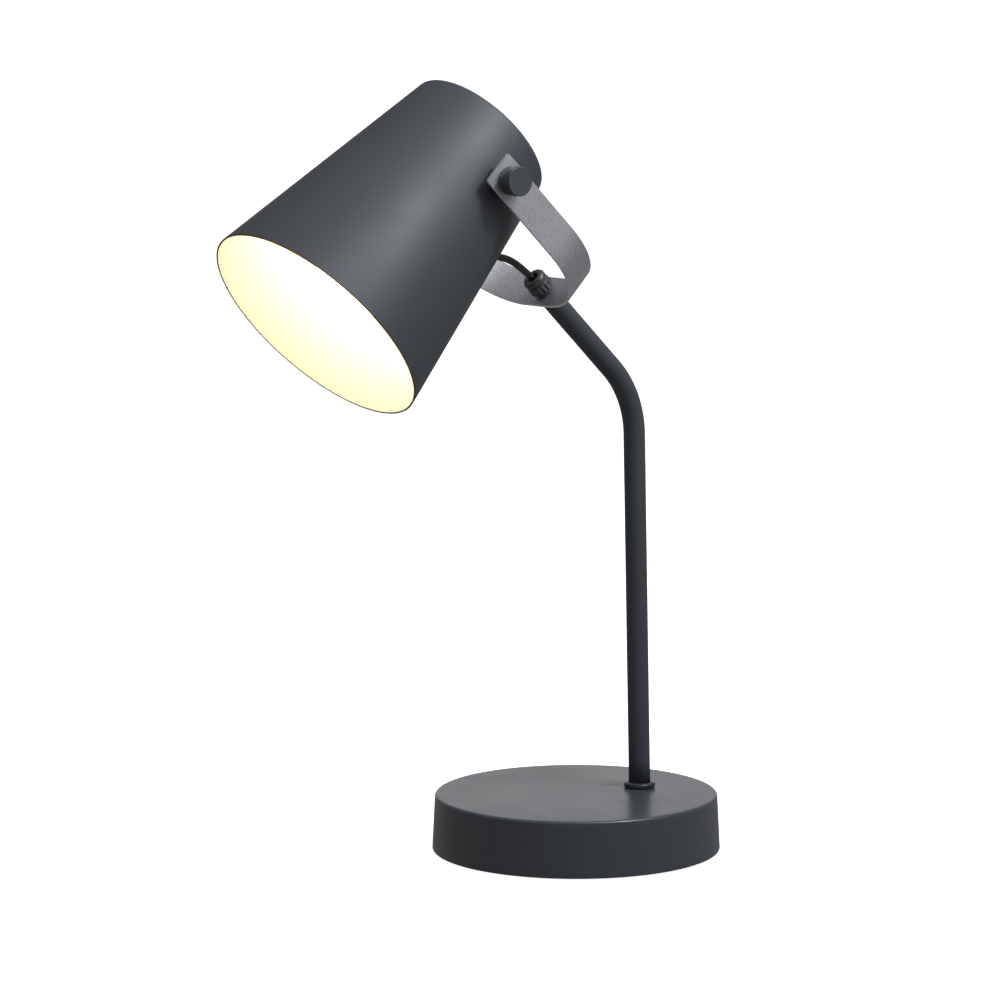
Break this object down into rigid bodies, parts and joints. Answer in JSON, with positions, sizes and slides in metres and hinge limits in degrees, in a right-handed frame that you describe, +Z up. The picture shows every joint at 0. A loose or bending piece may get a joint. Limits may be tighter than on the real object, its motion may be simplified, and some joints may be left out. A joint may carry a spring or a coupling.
{
  "type": "desk lamp",
  "caption": "Desk lamp with a round weighted base, a bent tube stem, a U strap bracket and a tapered metal shade that tilts between two clamp knobs.",
  "frame": {"origin": "centre of the base's underside, where the lamp rests on the table", "axes": "+Z up, the shade and its beam point towards -X and down, the stem stands on the +X side and 10 mm towards -Y, +Y across the lamp along the tilt axis"},
  "size_m": [0.3049, 0.16, 0.428],
  "materials": {
    "anthracite_paint": "matte powder coat",
    "knob_paint": "satin paint",
    "grey_powder_coat": "fine textured powder coat",
    "cast_iron": "rough cast",
    "zinc_steel": "zinc plated",
    "foam_pad": "closed-cell foam",
    "black_rubber": "matte",
    "white_moulding": "satin",
    "brass": "plain",
    "black_pvc": "semi-gloss sheath",
    "black_nylon": "moulded",
    "fibre": "pressed fibre",
    "frosted_glass": "frosted, lit",
    "bright_metal": "bright",
    "black_glass": "glassy"
  },
  "bodies": {
    "stand": {"base_cover": "anthracite_paint", "stem_tube": "anthracite_paint", "stem_collar": "anthracite_paint", "bracket": "grey_powder_coat", "base_weight": "cast_iron", "bottom_plate": "zinc_steel", "plate_screws": "zinc_steel", "base_pad": "foam_pad", "cord_inlet_bush": "black_rubber", "terminal_block": "white_moulding", "terminal_barrels": "brass", "terminal_screws": "zinc_steel", "stem_nipple": "zinc_steel", "stem_washer": "zinc_steel", "stem_nut": "zinc_steel", "head_ferrule": "zinc_steel", "lead_in_stem": "black_pvc", "lead_at_head": "black_pvc", "cord_grip_body": "black_nylon", "cord_grip_cap": "black_nylon", "fibre_washers": "fibre", "spring_washers": "zinc_steel"},
    "head": {"shade_shell": "anthracite_paint", "lead_grommet": "black_rubber", "lead_in_shade": "black_pvc", "pivot_spacers": "black_nylon", "pivot_pads": "black_nylon", "pivot_nuts": "zinc_steel", "holder_cap_nut": "knob_paint", "holder_nipple": "zinc_steel", "holder_star_washer": "zinc_steel", "holder_nut": "zinc_steel", "holder_dome": "white_moulding", "holder_core": "white_moulding", "holder_screw_shell": "brass", "holder_contact": "brass", "holder_skirt": "white_moulding", "bulb_globe": "frosted_glass", "bulb_cap": "bright_metal", "bulb_insulator": "black_glass", "bulb_contact": "bright_metal"},
    "clamp_left": {"knob_left": "knob_paint", "stud_left": "zinc_steel"},
    "clamp_right": {"knob_right": "knob_paint", "stud_right": "zinc_steel"}
  },
  "joints": [
    {"name": "shade_tilt", "type": "hinge", "parent": "stand", "child": "head", "pos_m": [-0.09566, -0.0103, 0.37729], "axis": [0, 1, 0], "range_deg": [-35, 35], "deforming": ["lead_at_head"]},
    {"name": "clamp_left_turn", "type": "hinge", "parent": "stand", "child": "clamp_left", "pos_m": [-0.09566, -0.0103, 0.37729], "axis": [0, -1, 0], "range_deg": [0, 270]},
    {"name": "clamp_right_turn", "type": "hinge", "parent": "stand", "child": "clamp_right", "pos_m": [-0.09566, -0.0103, 0.37729], "axis": [0, 1, 0], "range_deg": [0, 270]}
  ]
}
